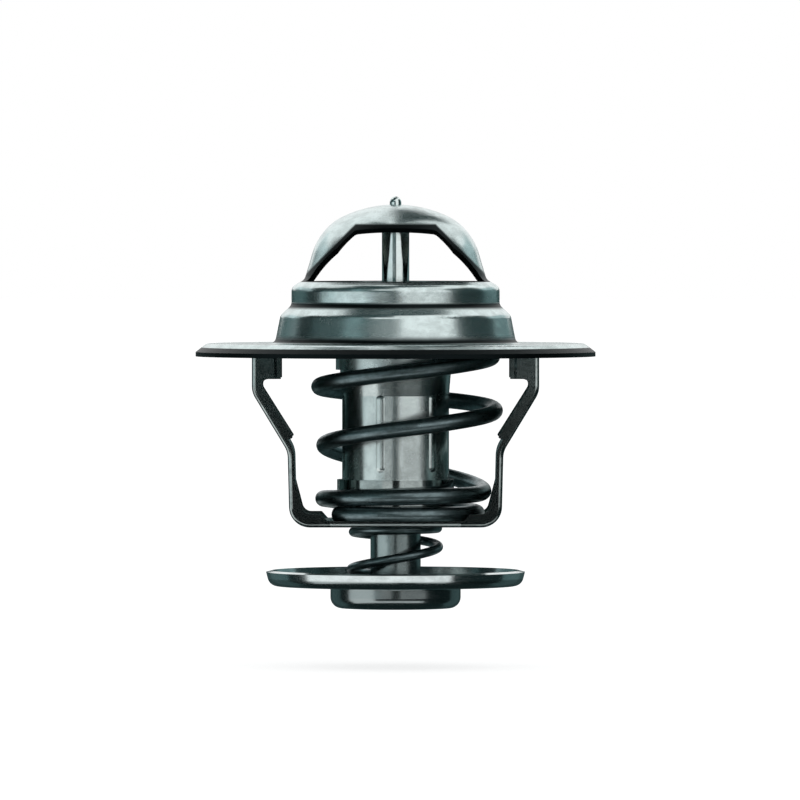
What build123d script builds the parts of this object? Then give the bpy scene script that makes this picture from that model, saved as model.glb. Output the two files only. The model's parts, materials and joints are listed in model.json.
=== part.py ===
"""Wax engine thermostat with a bypass valve.

All sizes are in millimetres. The origin is the centre of the flange rim's lower plane,
+Z runs up the axis to the bridge's crown, and the bridge and the frame legs lie along X.
"""
from build123d import *
from math import acos, cos, degrees, hypot, pi, radians, sin, sqrt, tan
import os

# Two places closer than this count as one
same_place = 0.001

# Upper housing, one pressed sheet
sheet = 0.8
flange_r = 27.0
flange_top_z = 1.75
rim_edge_height = 0.6
rim_slope_width = 1.5
rim_foot_width = 0.9
upper_ring_r = 14.05
ring_step = 1.5
lower_ring_flare = 0.75
lower_ring_top_z = 5.55
upper_ring_foot_z = 6.95
upper_ring_top_z = 9.4
bridge_foot_r = 12.3
bridge_foot_z = 10.35
bridge_top_z = 20.5
crown_radius = 16.5
crown_edge_r = 7.0
shoulder_points = ((8.65, 2.6), (10.05, 4.15), (11.0, 5.9))
wall_top_r = 11.5
wall_drop = 7.5
foot_bend = 1.2
ring_bend = 1.1
crease_bend = 0.9
rim_bend = 1.0

# Windows beside the bridge. Each edge point has an x, a half width along Y and a drop from the crown
window_r = 12.7
window_slant = 45
hub_r = 9.3
hub_drop = 3.2
hub_corner = (5.35, 7.85, 3.45)
arm_middle = (7.8, 7.7, 5.85)
arm_foot = (10.7, 5.1, 8.66)
arm_root = (12.5, 3.6, 10.6)
window_corner_r = 0.6

# Piston pin
pin_r = 1.85
pin_neck_r = 0.78
pin_tip_z = -9.5
pin_knob_z = 21.6

# Lower frame, one bent strip
frame_sheet = 0.9
frame_margin = 0.7
leg_head_x = 19.3
leg_bend_z = -4.75
leg_bend_r = 3.0
leg_knee_x = 14.5
leg_knee_z = -12.7
leg_foot_x = 14.25
frame_bottom_z = -22.9
foot_bend_r = 2.8
cheek_depth = 1.45
cheek_corner_r = 0.9
edge_round = 0.5
cheek_end_z = -11.2
cheek_step = 0.35
foot_cheek_start_z = -15.6
foot_cheek_depth = 1.9
foot_cheek_corner_r = 1.2
bottom_cheek_height = 1.8
bottom_cheek_x = 9.2
bottom_cheek_run = 0.8
wing_tip_x = 15.4
wing_bottom_z = -2.95
wing_joggle_x = 16.3
wing_joggle = 0.35
tenon_x = 17.8
tenon_width = 1.8
tenon_clearance = 0.02
guide_bore_r = 7.4
guide_wall = 0.5
guide_top_z = -16.6
guide_root_r = 0.5
guide_mouth_r = 0.6

# Wax element
element_r = 7.225
element_neck_r = 7.5
element_taper_low_z = -5.3
element_taper_top_z = -2.0
element_bottom_z = -22.6
element_top_z = 5.6
element_bore_r = 6.5
element_base = 3.4
lip_thickness = 0.7
lip_bore_r = 5.6
lip_round = 0.5
element_corner_r = 0.8
rib_count = 6
rib_first_angle = -106.4
rib_clearance = 0.04
rib_width = 1.25
rib_low_z = -15.6
rib_top_z = -5.1

# Guide plug, wiper, rubber boot
plug_low_z = -2.2
plug_flange_low_z = 1.0
plug_flange_r = 6.95
plug_boss_r = 4.2
plug_top_z = 8.8
plug_chamfer = 0.8
pin_clearance = 0.03
wiper_low_z = 6.6
wiper_height = 1.1
wiper_width = 1.0
boot_r = 3.1
boot_low_z = -12.6
boot_flange_height = 1.1
boot_clearance = 0.05

# Main valve
hub_wall = 0.575
hub_low_z = -1.8
plate_under_z = 3.4
hub_root_r = 1.2
plate_rim_width = 0.85
plate_rim_rise = 1.1
seal_side_gap = 0.45
seal_wrap = 0.75
seal_face_width = 0.95
seal_inner_step = 0.05
seal_gap = 0.15
seal_skin = 0.45

# Main spring. The knots are angles and the wire's height as a share of the spring's length
spring_wire_r = 1.1
spring_offset_x = 0.45
spring_seat_margin = 0.5
spring_collar_gap = 2.0
spring_growth = 0.5
spring_bow = 1.35
coil_step_angle = 30
main_coil_knots = (
    (216, 0.0315),
    (360, 0.0354),
    (450, 0.0630),
    (540, 0.1102),
    (630, 0.1280),
    (720, 0.1496),
    (810, 0.2638),
    (900, 0.3937),
    (1080, 0.5787),
    (1260, 0.7047),
    (1440, 0.8661),
    (1620, 0.9409),
    (1800, 0.9587),
    (1850, 0.9587),
)

# Bypass valve
disc_r = 17.5
disc_under_z = -31.0
disc_sheet = 0.8
disc_lip_top_z = -29.1
lip_run = 0.5
lip_bend_r = 1.3
cup_r = 8.8
cup_bottom_z = -34.0
cup_corner_r = 1.5
dimple_r = 4.2
dimple_slope = 0.3
dimple_height = 0.95
stem_r = 3.4
stem_clearance = 0.03
stem_end_z = -33.95
stem_chamfer = 0.25
spigot_r = 2.0
spigot_length = 2.2
ring_wire_r = 0.4
ring_gap_angle = 50
bypass_wire_r = 0.62
bypass_top_coil_r = 5.65
bypass_bottom_coil_r = 6.2
bypass_coil_knots = (
    (-20, 0.0547),
    (90, 0.0566),
    (270, 0.1226),
    (360, 0.1887),
    (540, 0.4245),
    (720, 0.7075),
    (900, 0.8962),
    (990, 0.9340),
    (1190, 0.9453),
)

# Worked-out places
flange_under_z = flange_top_z - sheet
wall_top_z = bridge_top_z - wall_drop
rim_bend_r = flange_r - rim_slope_width
lower_ring_top_r = upper_ring_r + ring_step
lower_ring_foot_r = lower_ring_top_r + lower_ring_flare
frame_half_width = guide_bore_r + guide_wall + frame_margin
seal_outer_r = lower_ring_top_r - sheet - seal_side_gap
seal_tip_r = seal_outer_r - seal_face_width
plate_rim_r = seal_outer_r - seal_wrap
plate_flat_r = plate_rim_r - plate_rim_width
seal_inner_r = plate_flat_r + seal_inner_step
hub_outer_r = element_neck_r + hub_wall
spring_top_coil_r = plate_flat_r - spring_seat_margin
spring_bottom_coil_r = guide_bore_r + guide_wall + spring_collar_gap
crown_centre_z = bridge_top_z - crown_radius
frame_seat_z = frame_bottom_z + frame_sheet
tenon_y = frame_half_width - frame_sheet / 2
pin_bore_r = pin_r + pin_clearance
plug_flange_top_z = element_top_z - lip_thickness
element_floor_z = element_bottom_z + element_base
cup_floor_z = cup_bottom_z + disc_sheet
dimple_under_z = cup_bottom_z + dimple_height
pin_shoulder_z = crown_centre_z + sqrt((crown_radius - sheet) ** 2 - pin_r**2)


def revolved(profile):
    """Turn a face drawn in the XZ plane about the Z axis."""
    return revolve(profile, Axis.Z, 360)


def tube(outer_r, inner_r, low_z, top_z):
    """A plain ring with its axis on Z."""
    ring = Circle(outer_r) - Circle(inner_r)
    return Pos(0, 0, low_z) * extrude(ring, top_z - low_z)


def rod(radius, low_z, top_z):
    """A plain cylinder with its axis on Z."""
    return Pos(0, 0, low_z) * extrude(Circle(radius), top_z - low_z)


def edges_at(solid, radius, height):
    """Round edges of one radius at one height."""
    return [
        edge
        for edge in solid.edges().filter_by(GeomType.CIRCLE)
        if abs(edge.radius - radius) < same_place and abs(edge.arc_center.Z - height) < same_place
    ]


def bridge_section():
    """Section of the bridge's sheet from the pin's hole to its straight wall, right half."""
    start, end = (degrees(acos(radius / crown_radius)) for radius in (pin_neck_r / 2, crown_edge_r))
    crown = CenterArc((0, crown_centre_z), crown_radius, start, end - start)
    inner_crown = CenterArc((0, crown_centre_z), crown_radius - sheet, start, end - start)
    wall = Vector(bridge_foot_r - wall_top_r, bridge_foot_z - wall_top_z)
    ends = (crown % 1, wall.normalized())
    knots = [(radius, bridge_top_z - drop) for radius, drop in shoulder_points]
    shoulder = Spline(crown @ 1, *knots, (wall_top_r, wall_top_z), tangents=ends)
    steps = [index / 12 for index in range(13)]
    inner_points = [shoulder @ step + (shoulder % step).rotate(Axis.Z, -90) * sheet for step in steps]
    inner_shoulder = Spline(*inner_points, tangents=ends)
    hole_side = Line(crown @ 0, inner_crown @ 0)
    wall_side = Line(shoulder @ 1, inner_shoulder @ 1)
    return make_face([crown, shoulder, wall_side, inner_shoulder, inner_crown, hole_side])


def ring_section():
    """Section of the sheet from the bridge's wall over both rings to the rim, right half."""
    outline = FilletPolyline(
        (wall_top_r, wall_top_z),
        (bridge_foot_r, bridge_foot_z),
        (upper_ring_r, upper_ring_top_z),
        (upper_ring_r, upper_ring_foot_z),
        (lower_ring_top_r, lower_ring_top_z),
        (lower_ring_foot_r, flange_top_z),
        (rim_bend_r, flange_top_z),
        (flange_r, rim_edge_height),
        radius=(foot_bend, ring_bend, crease_bend, ring_bend, crease_bend, rim_bend),
    )
    return make_face(Wire(outline.edges()).offset_2d(sheet, side=Side.RIGHT, closed=True))


def window_cutter():
    """Tool that pierces the front window: it runs down and inwards at a slant between the arms."""
    rise = tan(radians(window_slant))

    def slid(x, half_width, drop):
        """Where a point of the window's edge lands on the XZ plane, slid along the tool."""
        return x, bridge_top_z - drop - half_width * rise

    side = [slid(*point) for point in (hub_corner, arm_middle, arm_foot, arm_root)]
    side.append((side[-1][0], upper_ring_foot_z - 2 * window_r * rise))
    hub_edge = ThreePointArc((-side[0][0], side[0][1]), slid(0, hub_r, hub_drop), side[0])
    right = Polyline(*side)
    left = Polyline(*[(-x, z) for x, z in side])
    floor = Line(left @ 1, right @ 1)
    outline = make_face([hub_edge, *right.edges(), *left.edges(), floor])
    corners = [v for v in outline.vertices() if abs(abs(v.X) - side[0][0]) < same_place]
    outline = fillet(corners, window_corner_r)
    slanted = extrude(Plane.XZ * outline, 2 * window_r / cos(radians(window_slant)), dir=(0, -1, rise))
    return slanted & rod(window_r, upper_ring_foot_z, bridge_top_z)


def make_upper_housing():
    """Flange, two rings and the bridge, pressed from one disc of sheet."""
    rim_foot = make_face(
        Polyline(
            (flange_r, rim_edge_height),
            (flange_r, 0),
            (flange_r - rim_foot_width, 0),
            (flange_r - rim_foot_width, rim_edge_height),
            close=True,
        )
    )
    below = Pos(flange_r / 2, -sheet) * Rectangle(2 * flange_r, 2 * sheet)
    section = bridge_section() + ring_section() + rim_foot - below
    shell = revolved(Plane.XZ * section)
    cutter = window_cutter()
    shell -= cutter + mirror(cutter, Plane.XZ)
    shell -= rod(pin_neck_r, crown_centre_z, bridge_top_z + sheet)
    slot = Box(tenon_width + 2 * tenon_clearance, frame_sheet + 2 * tenon_clearance, 3 * sheet)
    for x in (-tenon_x, tenon_x):
        for y in (-tenon_y, tenon_y):
            shell -= Pos(x, y, flange_top_z - sheet / 2) * slot
    return shell


def make_piston_pin():
    """Straight pin with a shoulder under the crown and a thin round end through it."""
    shaft = rod(pin_r, pin_tip_z, pin_shoulder_z)
    shaft = chamfer(edges_at(shaft, pin_r, pin_tip_z), pin_r / 3)
    neck = rod(pin_neck_r, pin_shoulder_z, pin_knob_z - pin_neck_r)
    return shaft + neck + Pos(0, 0, pin_knob_z - pin_neck_r) * Sphere(pin_neck_r)


def leg_outer_x(height):
    """Outer side of the sloping part of a leg."""
    slope = (leg_head_x - leg_knee_x) / (leg_bend_z - leg_knee_z)
    return leg_knee_x + slope * (height - leg_knee_z)


def frame_outline():
    """Outer line of the bent strip, right half."""
    return FilletPolyline(
        (leg_head_x, flange_under_z),
        (leg_head_x, leg_bend_z),
        (leg_knee_x, leg_knee_z),
        (leg_foot_x, frame_bottom_z),
        (0, frame_bottom_z),
        radius=(leg_bend_r, leg_bend_r, foot_bend_r),
    )


def frame_band():
    """Section of the bent strip itself, right half, and the whole space inside its outer line."""
    outline = frame_outline()
    ribbon = Wire(outline.edges()).offset_2d(frame_sheet, side=Side.RIGHT, closed=True)
    lid = Polyline((0, frame_bottom_z), (0, flange_under_z), (leg_head_x, flange_under_z))
    return make_face(ribbon), make_face(outline.edges() + lid.edges())


def cheek_hollow():
    """What lies between the cheeks' free edges and the axis, right half."""
    slope = (leg_head_x - leg_knee_x) / (leg_bend_z - leg_knee_z)
    slant_depth = cheek_depth * sqrt(1 + slope**2)
    plain_depth = frame_sheet / 2
    cheek_top_z = frame_bottom_z + bottom_cheek_height
    free_edge = FilletPolyline(
        (bottom_cheek_x, frame_seat_z),
        (bottom_cheek_x + bottom_cheek_run, cheek_top_z),
        (leg_foot_x - foot_cheek_depth, cheek_top_z),
        (leg_foot_x - plain_depth, foot_cheek_start_z),
        (leg_knee_x - plain_depth, leg_knee_z),
        (leg_outer_x(cheek_end_z) - plain_depth, cheek_end_z),
        (leg_outer_x(cheek_end_z) - slant_depth, cheek_end_z + cheek_step),
        (leg_outer_x(wing_bottom_z) - slant_depth, wing_bottom_z),
        (wing_joggle_x + wing_joggle, wing_bottom_z),
        radius=(0.3, foot_cheek_corner_r, 0.3, 0.3, 0.2, 0.2, cheek_corner_r),
    )
    rest = Polyline(
        (wing_joggle_x + wing_joggle, wing_bottom_z),
        (wing_joggle_x + wing_joggle, flange_under_z),
        (0, flange_under_z),
        (0, frame_seat_z),
        (bottom_cheek_x, frame_seat_z),
    )
    return make_face(free_edge.edges() + rest.edges())


def wing_tip():
    """Stepped end of one wing, seen from above."""
    outer = frame_half_width
    inner = frame_half_width - frame_sheet
    return make_face(
        Polyline(
            (wing_joggle_x + wing_joggle, outer),
            (wing_joggle_x, outer),
            (wing_joggle_x - wing_joggle, outer - wing_joggle),
            (wing_tip_x, outer - wing_joggle),
            (wing_tip_x, inner - wing_joggle),
            (wing_joggle_x - wing_joggle, inner - wing_joggle),
            (wing_joggle_x, inner),
            (wing_joggle_x + wing_joggle, inner),
            close=True,
        )
    )


def outer_bend_edges(frame):
    """Long outer corners where the strip turns into its cheeks."""
    outline = Plane.XZ * Compound(frame_outline().edges())
    found = []
    for edge in frame.edges():
        points = (edge @ 0, edge @ 0.5, edge @ 1)
        on_side = all(abs(abs(point.Y) - frame_half_width) < same_place for point in points)
        middle = edge @ 0.5
        if on_side and outline.distance_to(Vertex(abs(middle.X), 0, middle.Z)) < same_place:
            found.append(edge)
    return found


def make_lower_frame():
    """One strip bent into two legs and a spring seat, with cheeks, wings and a drawn collar."""
    ribbon, filled = frame_band()
    band = extrude(Plane.XZ * ribbon, frame_half_width, both=True)
    cheek = extrude(Plane.XZ.offset(-frame_half_width) * (filled - cheek_hollow()), frame_sheet)
    quarter_tip = Pos(0, 0, wing_bottom_z) * extrude(wing_tip(), flange_under_z - wing_bottom_z)
    quarter_tip += Pos(tenon_x, tenon_y, flange_under_z + sheet / 2) * Box(tenon_width, frame_sheet, sheet)
    side = band + cheek + quarter_tip
    side += mirror(cheek + quarter_tip, Plane.XZ)
    frame = side + mirror(side, Plane.YZ)
    frame = fillet(outer_bend_edges(frame), edge_round)
    frame += rod(guide_bore_r + guide_wall, frame_bottom_z, guide_top_z)
    frame = fillet(edges_at(frame, guide_bore_r + guide_wall, frame_seat_z), guide_root_r)
    frame -= rod(guide_bore_r, frame_bottom_z, guide_top_z)
    return fillet(edges_at(frame, guide_bore_r, frame_bottom_z), guide_mouth_r)


def make_element_cup():
    """Wax element's body: a deep cup with six raised guide ribs and a rolled lip."""
    outline = Polyline(
        (0, element_bottom_z),
        (element_r, element_bottom_z),
        (element_r, element_taper_low_z),
        (element_neck_r, element_taper_top_z),
        (element_neck_r, element_top_z),
        (lip_bore_r, element_top_z),
        (lip_bore_r, plug_flange_top_z),
        (plug_flange_r, plug_flange_top_z),
        (plug_flange_r, plug_flange_low_z),
        (element_bore_r, plug_flange_low_z),
        (element_bore_r, element_floor_z),
        (0, element_floor_z),
        close=True,
    )
    cup = revolved(Plane.XZ * make_face(outline))
    cup = fillet(edges_at(cup, element_r, element_bottom_z), element_corner_r)
    cup = fillet(edges_at(cup, element_neck_r, element_top_z), lip_round)
    rib_top_r = guide_bore_r - rib_clearance
    bulge = rib_top_r - sqrt(element_r**2 - (rib_width / 2) ** 2)
    rib_round = ((rib_width / 2) ** 2 + bulge**2) / (2 * bulge)
    rib_length = rib_top_z - rib_low_z - rib_width
    rib = Cylinder(rib_round, rib_length) + Pos(0, 0, rib_length / 2) * Sphere(rib_round)
    rib += Pos(0, 0, -rib_length / 2) * Sphere(rib_round)
    rib_place = Pos(rib_top_r - rib_round, 0, (rib_top_z + rib_low_z) / 2)
    for index in range(rib_count):
        cup += Rot(0, 0, rib_first_angle + index * 360 / rib_count) * rib_place * rib
    cup -= rod(element_bore_r, element_floor_z, plug_flange_low_z)
    return cup - rod(spigot_r, element_bottom_z, element_bottom_z + spigot_length)


def make_pin_guide():
    """Turned plug that closes the cup and guides the pin."""
    outline = Polyline(
        (pin_bore_r, plug_low_z),
        (element_bore_r, plug_low_z),
        (element_bore_r, plug_flange_low_z),
        (plug_flange_r, plug_flange_low_z),
        (plug_flange_r, plug_flange_top_z),
        (plug_boss_r, plug_flange_top_z),
        (plug_boss_r, plug_top_z),
        (pin_bore_r, plug_top_z),
        (pin_bore_r, wiper_low_z + wiper_height),
        (pin_bore_r + wiper_width, wiper_low_z + wiper_height),
        (pin_bore_r + wiper_width, wiper_low_z),
        (pin_bore_r, wiper_low_z),
        close=True,
    )
    plug = revolved(Plane.XZ * make_face(outline))
    plug = chamfer(edges_at(plug, plug_boss_r, plug_top_z), plug_chamfer)
    return fillet(edges_at(plug, plug_boss_r, plug_flange_top_z), plug_chamfer / 2)


def make_wiper_ring():
    """Rubber ring in the plug's groove, round the pin."""
    return tube(pin_bore_r + wiper_width, pin_bore_r, wiper_low_z, wiper_low_z + wiper_height)


def make_rubber_sleeve():
    """Rubber boot that the wax squeezes, with a flange under the plug."""
    boot = rod(boot_r, boot_low_z, plug_low_z)
    boot = fillet(edges_at(boot, boot_r, boot_low_z), boot_r - pin_r)
    boot += rod(element_bore_r, plug_low_z - boot_flange_height, plug_low_z)
    return boot - rod(pin_r + boot_clearance, pin_tip_z - boot_clearance, plug_low_z)


def make_wax_charge(boot):
    """Wax that fills the cup round the boot."""
    wax = rod(element_bore_r, element_floor_z, plug_low_z - boot_flange_height)
    boot_shape = boot + rod(pin_r + boot_clearance, pin_tip_z - boot_clearance, plug_low_z)
    return wax - boot_shape


def make_main_valve_plate():
    """Valve plate with a drawn hub gripping the element and a raised rim for the seal."""
    rim_z = plate_under_z + plate_rim_rise
    outline = FilletPolyline(
        (hub_outer_r, hub_low_z),
        (hub_outer_r, plate_under_z),
        (plate_flat_r, plate_under_z),
        (plate_flat_r + plate_rim_rise / 2, rim_z),
        (plate_rim_r, rim_z),
        radius=(hub_root_r, 0.3, 0.2),
    )
    ribbon = make_face(Wire(outline.edges()).offset_2d(hub_wall, side=Side.LEFT, closed=True))
    return revolved(Plane.XZ * ribbon)


def seat_line_height(radius, clearance):
    """Height, at one radius, of the cone inside the housing less a clearance across it."""
    drop = upper_ring_foot_z - lower_ring_top_z
    run = lower_ring_top_r - upper_ring_r
    slant = hypot(drop, run)
    across = (sheet + clearance) * slant / run
    return upper_ring_foot_z - (radius - upper_ring_r) * drop / run - across


def make_main_valve_seal(plate):
    """Rubber ring moulded round the plate's rim, with a cone that closes on the seat."""
    rim_z = plate_under_z + plate_rim_rise
    outline = Polyline(
        (seal_inner_r, rim_z - seal_skin),
        (seal_outer_r, rim_z - seal_skin),
        (seal_outer_r, seat_line_height(seal_outer_r, seal_gap)),
        (seal_tip_r, seat_line_height(seal_tip_r, seal_gap)),
        (seal_inner_r, seat_line_height(seal_tip_r, seal_gap)),
        close=True,
    )
    return revolved(Plane.XZ * make_face(outline)) - plate


def coil_share(angle, knots):
    """Share of a spring's length at an angle, smooth through its (angle, share) knots."""
    slopes = []
    for index in range(len(knots)):
        before = knots[max(index - 1, 0)]
        after = knots[min(index + 1, len(knots) - 1)]
        slopes.append((after[1] - before[1]) / (after[0] - before[0]))
    span = next(i for i in range(len(knots) - 1) if angle <= knots[i + 1][0] + 1e-6)
    (start, low), (end, high) = knots[span], knots[span + 1]
    t = (angle - start) / (end - start)
    bend = (slopes[span] * (1 - t) - slopes[span + 1] * t) * (end - start)
    ease = t * t * (3 - 2 * t)
    return low * (1 - ease) + high * ease + bend * t * (1 - t)


def make_spring(knots, low_r, high_r, wire_r, low_z, high_z, growth=1.0, bow=0.0):
    """Round wire wound right-handed, ends ground flat. A growth below 1 widens it early on its way up."""
    first, last = knots[0][0], knots[-1][0]
    steps = round((last - first) / coil_step_angle)
    points = []
    for step in range(steps + 1):
        angle = first + (last - first) * step / steps
        share = coil_share(angle, knots)
        radius = low_r + (high_r - low_r) * share**growth
        x = bow * sin(pi * share) + radius * cos(radians(angle))
        points.append((x, radius * sin(radians(angle)), low_z + (high_z - low_z) * share))
    path = Spline(*points)
    wire = sweep(Plane(path @ 0, z_dir=path % 0) * Circle(wire_r), path=path)
    slab = 4 * wire_r
    wire -= Pos(0, 0, low_z - slab / 2) * Box(4 * high_r, 4 * high_r, slab)
    return wire - Pos(0, 0, high_z + slab / 2) * Box(4 * high_r, 4 * high_r, slab)


def make_main_spring():
    """Main spring between the frame's seat and the valve plate, a little off centre."""
    spring = make_spring(
        main_coil_knots,
        spring_bottom_coil_r,
        spring_top_coil_r,
        spring_wire_r,
        frame_seat_z,
        plate_under_z,
        spring_growth,
        spring_bow,
    )
    return Pos(spring_offset_x, 0, 0) * spring


def make_bypass_spring():
    """Bypass spring between the disc's cup and the element's base."""
    return make_spring(
        bypass_coil_knots,
        bypass_bottom_coil_r,
        bypass_top_coil_r,
        bypass_wire_r,
        cup_floor_z,
        element_bottom_z,
    )


def snap_ring_z():
    """Height of the snap ring, just under the raised middle of the disc's cup."""
    return dimple_under_z - ring_wire_r


def make_bypass_stem():
    """Turned stem, pressed into the element's base and grooved for the snap ring."""
    stem = rod(stem_r, stem_end_z, element_bottom_z)
    stem = chamfer(edges_at(stem, stem_r, stem_end_z), stem_chamfer)
    stem += rod(spigot_r, element_bottom_z, element_bottom_z + spigot_length)
    return stem - Pos(0, 0, snap_ring_z()) * Torus(stem_r, ring_wire_r)


def make_snap_ring():
    """Open ring of round wire in the stem's groove."""
    circle = Plane.XZ * Pos(stem_r, snap_ring_z()) * Circle(ring_wire_r)
    ring = revolve(circle, Axis.Z, 360 - ring_gap_angle)
    return Rot(0, 0, ring_gap_angle / 2) * ring


def make_bypass_disc():
    """Dished valve disc: turned-up lip, flat face, deep cup with a raised middle."""
    outline = FilletPolyline(
        (stem_r + stem_clearance, dimple_under_z),
        (dimple_r, dimple_under_z),
        (dimple_r + dimple_slope, cup_bottom_z),
        (cup_r, cup_bottom_z),
        (cup_r, disc_under_z),
        (disc_r - lip_run, disc_under_z),
        (disc_r, disc_lip_top_z),
        radius=(0.3, 1.0, cup_corner_r, 0.4, lip_bend_r),
    )
    ribbon = make_face(Wire(outline.edges()).offset_2d(disc_sheet, side=Side.LEFT, closed=True))
    return revolved(Plane.XZ * ribbon)


def export(node, solid):
    """Write one piece to its own file."""
    export_step(solid, f"parts/{node}.step")


os.makedirs("parts", exist_ok=True)
plate = make_main_valve_plate()
boot = make_rubber_sleeve()
export("upper_housing", make_upper_housing())
export("piston_pin", make_piston_pin())
export("lower_frame", make_lower_frame())
export("element_cup", make_element_cup())
export("pin_guide", make_pin_guide())
export("wiper_ring", make_wiper_ring())
export("rubber_sleeve", boot)
export("wax_charge", make_wax_charge(boot))
export("main_valve_plate", plate)
export("main_valve_seal", make_main_valve_seal(plate))
export("main_spring", make_main_spring())
export("bypass_stem", make_bypass_stem())
export("bypass_spring", make_bypass_spring())
export("bypass_disc", make_bypass_disc())
export("snap_ring", make_snap_ring())
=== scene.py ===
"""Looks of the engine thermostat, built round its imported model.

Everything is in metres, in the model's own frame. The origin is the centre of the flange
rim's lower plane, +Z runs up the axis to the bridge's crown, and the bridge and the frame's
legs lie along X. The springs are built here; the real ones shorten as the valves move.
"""

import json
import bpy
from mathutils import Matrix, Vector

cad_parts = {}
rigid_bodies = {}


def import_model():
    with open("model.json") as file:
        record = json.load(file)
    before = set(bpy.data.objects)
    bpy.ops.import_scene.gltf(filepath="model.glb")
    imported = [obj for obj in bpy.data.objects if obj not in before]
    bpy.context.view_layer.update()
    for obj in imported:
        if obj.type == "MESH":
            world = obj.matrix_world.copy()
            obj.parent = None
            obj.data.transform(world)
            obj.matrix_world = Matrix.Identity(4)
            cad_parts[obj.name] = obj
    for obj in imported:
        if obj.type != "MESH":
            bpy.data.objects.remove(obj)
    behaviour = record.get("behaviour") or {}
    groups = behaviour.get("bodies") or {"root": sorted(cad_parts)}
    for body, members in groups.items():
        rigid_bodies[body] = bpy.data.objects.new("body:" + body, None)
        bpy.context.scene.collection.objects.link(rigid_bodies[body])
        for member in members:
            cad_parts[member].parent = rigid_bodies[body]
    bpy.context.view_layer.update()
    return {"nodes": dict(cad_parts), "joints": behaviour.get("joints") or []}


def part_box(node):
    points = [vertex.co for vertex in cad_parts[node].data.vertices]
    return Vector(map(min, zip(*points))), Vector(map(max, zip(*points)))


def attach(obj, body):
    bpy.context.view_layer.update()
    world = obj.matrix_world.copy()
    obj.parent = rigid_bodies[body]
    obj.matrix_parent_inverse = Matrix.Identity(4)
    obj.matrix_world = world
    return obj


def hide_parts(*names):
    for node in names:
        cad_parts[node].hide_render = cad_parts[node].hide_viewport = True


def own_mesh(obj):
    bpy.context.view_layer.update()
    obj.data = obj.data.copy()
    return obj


bl_info = {
    "name": "Engine Thermostat",
    "version": (1, 0, 0),
    "blender": (4, 5, 0),
    "location": "View3D > Sidebar > Thermostat",
    "description": "Metal finishes, springs and studio for the engine thermostat",
    "category": "Object",
}

from math import cos, pi, radians, sin

import bmesh
import bpy
from mathutils import Vector

for thing in list(bpy.data.objects):
    bpy.data.objects.remove(thing)

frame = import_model()

# Knots of the two springs: angle in degrees and the wire's height as a share of the spring's length
MAIN_COIL = (
    (216, 0.0315),
    (360, 0.0354),
    (450, 0.0630),
    (540, 0.1102),
    (630, 0.1280),
    (720, 0.1496),
    (810, 0.2638),
    (900, 0.3937),
    (1080, 0.5787),
    (1260, 0.7047),
    (1440, 0.8661),
    (1620, 0.9409),
    (1800, 0.9587),
    (1850, 0.9587),
)
BYPASS_COIL = (
    (-20, 0.0547),
    (90, 0.0566),
    (270, 0.1226),
    (360, 0.1887),
    (540, 0.4245),
    (720, 0.7075),
    (900, 0.8962),
    (990, 0.9340),
    (1190, 0.9453),
)

# Cards round the studio: turn from and to, rise from and to, all in degrees, and level
# A turn of 0 is on the camera's side, and turns grow towards +X
CARDS = (
    (-26, 4, -0.6, 25, 0.09),
    (-6, 8, -5.3, -0.6, 0.0),
    (-90, -26, -5, -0.6, 0.85),
    (-90, -80, -0.6, 9, 0.28),
    (-80, -70, -0.6, 9, 0.50),
    (-70, -60, -0.6, 9, 0.75),
    (-60, -26, -0.6, 9, 0.85),
    (-38, 90, -26, -5.3, 0.02),
    (14, 52, -5.2, -4.3, 0.10),
    (54, 115, -42, -0.6, 0.02),
    (62, 115, -0.6, 42, 0.045),
    (115, 150, -42, -0.6, 0.13),
    (115, 150, -0.6, 12, 0.22),
    (115, 150, 12, 25, 0.6),
    (-115, -90, -42, 42, 0.02),
    (-150, -115, -42, 12, 0.13),
    (-150, -115, 12, 25, 0.75),
    (150, 210, -42, 5, 0.07),
    (-90, -52, 9, 40, 0.07),
    (-52, -34, 9, 40, 0.28),
    (-34, -26, 9, 40, 0.09),
    (150, 181, 34, 90, 0.04),
    (-90, 0, 40, 90, 0.06),
    (0, 90, 68, 90, 0.06),
    (90, 140, 62, 90, 0.06),
    (-148, -90, 63, 90, 0.05),
    (140, 235, 83, 90, 0.06),
    (-180, 180, -90, -42, 0.03),
)

# Degrees between a card's corners, round and up
CARD_TURN_STEP = 4
CARD_RISE_STEP = 6

# Red of a card as a share of its level: the first number, plus the second times the level. Darker is cooler
CARD_RED = (0.55, 0.42)

# Blue of a card as a share of its level
CARD_BLUE = 1.02

# Patterns: repeats in a metre along X, Y and Z, then detail and its roughness
WAVES = ((260, 260, 260), 3.0, 0.55)
STAINS = ((420, 420, 700), 6.0, 0.65)
SPECKS = ((3600, 3600, 3600), 3.0, 0.55)
CLOUDS = ((330, 330, 260), 5.0, 0.6)
PITS = ((2300, 2300, 2300), 4.0, 0.7)
BLOOM = ((700, 700, 700), 5.0, 0.6)
SKIN = ((5200, 5200, 5200), 2.0, 0.55)

# Streaks repeat often along the radius and the height, and seldom round the axis, so they run round it
STREAKS = ((5200, 2.4, 5200), 4.0, 0.6)

# Patterns of the wire repeat along it and round it
DRAW_LINES = ((260, 6500, 1), 4.0, 0.6)
TEMPER = ((900, 1400, 1), 5.0, 0.65)

# Depths of the fine patterns, in metres
SPECK_DEPTH = 1e-7
CLOUD_DEPTH = 1e-5
PIT_DEPTH = 1.2e-6
DRAW_LINE_DEPTH = 2e-6
TEMPER_DEPTH = 3e-6
SKIN_DEPTH = 6e-6

# How far from the windows' top edge and slanted sides the place beside them is measured, in metres
WINDOW_REACH = 0.0028
ARM_REACH = 0.00283

# The arm's reach as height plus distance from the middle
ARM_SPAN = 0.004

# Where the painted shade round the windows and on the rim has faded out, in widths or heights of what is
# fully dark
WINDOW_SHADE_FADE = 3
RIM_SHADE_FADE = 1.5
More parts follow.
